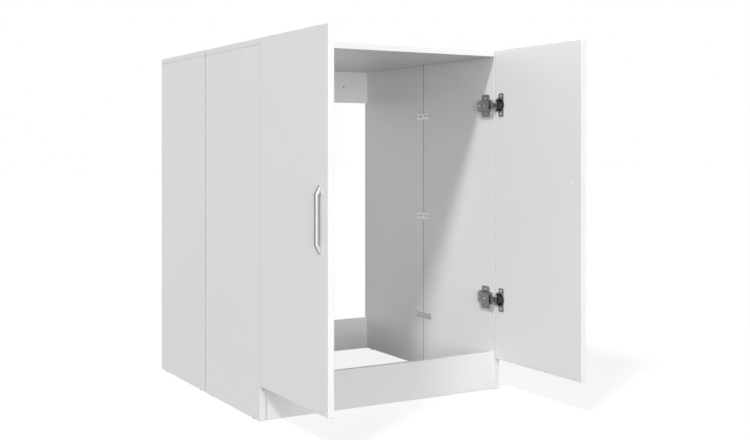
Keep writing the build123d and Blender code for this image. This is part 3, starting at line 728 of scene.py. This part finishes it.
for side in ("left", "right"):
    low, high = (Vector(corner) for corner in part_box(f"handle_{side}"))
    handle_steel = ground_steel(f"satin_steel_{side}", (low.y + high.y) / 2)
    bow = pressed_piece(f"handle_{side}", f"handle_{side}_ground", HANDLE_CORNER)
    finish_piece(bow, handle_steel, f"door_{side}", f"handle_{side}")
    dress(f"handle_screws_{side}", zinc_plate)

# The studio: a plain white floor and backdrop, a broad lamp high on the left in front, a weaker one
# low behind on the right, a softbox in front aimed at the right door, and soft light from all round
# the horizon. Each far lamp has its name, the way to it, its level and its breadth in degrees.
FLOOR_COLOR = (0.90, 0.90, 0.90, 1)
FLOOR_BOUNCE = (0.05, 0.05, 0.05, 1)
FLOOR_REACH = 30
FLOOR_OWN_LIGHT = 0.75
FLOOR_GLOW = 1.08
HORIZON_FILL = 1.82
HORIZON_FALL = 2.0
BACKDROP_GLOW = 1.0
WHITE_LIGHT = (1, 1, 1, 1)
FAR_LAMPS = (
    ("main_lamp", (-0.532, -0.355, 0.770), 0.66, 9.0),
    ("back_fill", (0.72, 0.62, 0.10), 0.50, 20.0),
)
SOFTBOX_PLACE = (-0.6, -3.2, 0.65)
SOFTBOX_TARGET = (0.9, -0.3, 0.45)
SOFTBOX_SIZE = 1.2
SOFTBOX_WATTS = 44.0


def seen_itself(tree):
    """1 for rays from the camera, also by way of a reflection or clear material, and 0 for others."""
    rays = add_node(tree, "ShaderNodeLightPath").outputs
    onward = arithmetic(tree, "MAXIMUM", rays["Is Glossy Ray"], rays["Is Transmission Ray"])
    return arithmetic(tree, "MAXIMUM", rays["Is Camera Ray"], onward)


floor_corners = [(x * FLOOR_REACH, y * FLOOR_REACH, 0) for x, y in ((-1, -1), (1, -1), (1, 1), (-1, 1))]
floor_mesh = bpy.data.meshes.new("floor")
floor_mesh.from_pydata(floor_corners, [], [(0, 1, 2, 3)])
floor = add_object("floor", floor_mesh)
floor_material, floor_tree = new_material("pale_floor")
floor_tree.nodes.clear()
seen = seen_itself(floor_tree)
bounce = add_node(floor_tree, "ShaderNodeBsdfDiffuse", {"Color": FLOOR_BOUNCE}).outputs[0]
lit = add_node(floor_tree, "ShaderNodeBsdfDiffuse", {"Color": FLOOR_COLOR}).outputs[0]
own = add_node(floor_tree, "ShaderNodeEmission", {"Color": WHITE_LIGHT, "Strength": FLOOR_GLOW}).outputs[0]
shown = add_node(floor_tree, "ShaderNodeMixShader", {0: FLOOR_OWN_LIGHT, 1: lit, 2: own}).outputs[0]
mixed = add_node(floor_tree, "ShaderNodeMixShader", {0: seen, 1: bounce, 2: shown}).outputs[0]
add_node(floor_tree, "ShaderNodeOutputMaterial", {"Surface": mixed})
floor.data.materials.append(floor_material)

world = bpy.data.worlds.new("studio")
bpy.context.scene.world = world
world.use_nodes = True
world_tree = world.node_tree
world_tree.nodes.clear()
seen = seen_itself(world_tree)
direction = add_node(world_tree, "ShaderNodeTexCoord").outputs["Object"]
height = add_node(world_tree, "ShaderNodeSeparateXYZ", {0: direction}).outputs[2]
below_top = arithmetic(world_tree, "SUBTRACT", 1.0, height, clamp=True)
low_share = arithmetic(world_tree, "POWER", below_top, HORIZON_FALL)
fill = arithmetic(world_tree, "MULTIPLY", low_share, HORIZON_FILL)
strength = ramp_between(world_tree, seen, 0.0, 1.0, fill, BACKDROP_GLOW)
sky = add_node(world_tree, "ShaderNodeBackground", {"Color": WHITE_LIGHT, "Strength": strength}).outputs[0]
add_node(world_tree, "ShaderNodeOutputWorld", {"Surface": sky})

for name, way, level, spread in FAR_LAMPS:
    lamp_data = bpy.data.lights.new(name, "SUN")
    lamp_data.energy = level * math.pi
    lamp_data.angle = math.radians(spread)
    lamp = add_object(name, lamp_data)
    lamp.rotation_euler = (-Vector(way)).to_track_quat("-Z", "Y").to_euler()

softbox_data = bpy.data.lights.new("softbox", "AREA")
softbox_data.size = SOFTBOX_SIZE
softbox_data.energy = SOFTBOX_WATTS
softbox = add_object("softbox", softbox_data)
softbox.location = SOFTBOX_PLACE
softbox_way = Vector(SOFTBOX_TARGET) - Vector(SOFTBOX_PLACE)
softbox.rotation_euler = softbox_way.to_track_quat("-Z", "Y").to_euler()
softbox.visible_camera = False

# The camera: level, left of the front, a little above the middle of the doors. Its picture is shifted
# down, so upright edges stay upright.
PHOTO_WIDTH, PHOTO_HEIGHT = 750, 440
HORIZON_ROW = 149.1
FOCAL_PIXELS = 1073.7
SENSOR_WIDTH = 36.0
CAMERA_TURN = math.radians(29.98)
CAMERA_PLACE = (-1.3919, -2.5314, 0.6502)
camera_data = bpy.data.cameras.new("camera")
camera_data.sensor_fit = "HORIZONTAL"
camera_data.sensor_width = SENSOR_WIDTH
camera_data.lens = FOCAL_PIXELS / PHOTO_WIDTH * SENSOR_WIDTH
camera_data.shift_y = (HORIZON_ROW - PHOTO_HEIGHT / 2) / PHOTO_WIDTH
camera = add_object("camera", camera_data)
camera.location = CAMERA_PLACE
camera.rotation_euler = (math.pi / 2, 0, -CAMERA_TURN)
bpy.context.scene.camera = camera
bpy.context.scene.view_settings.view_transform = "Standard"
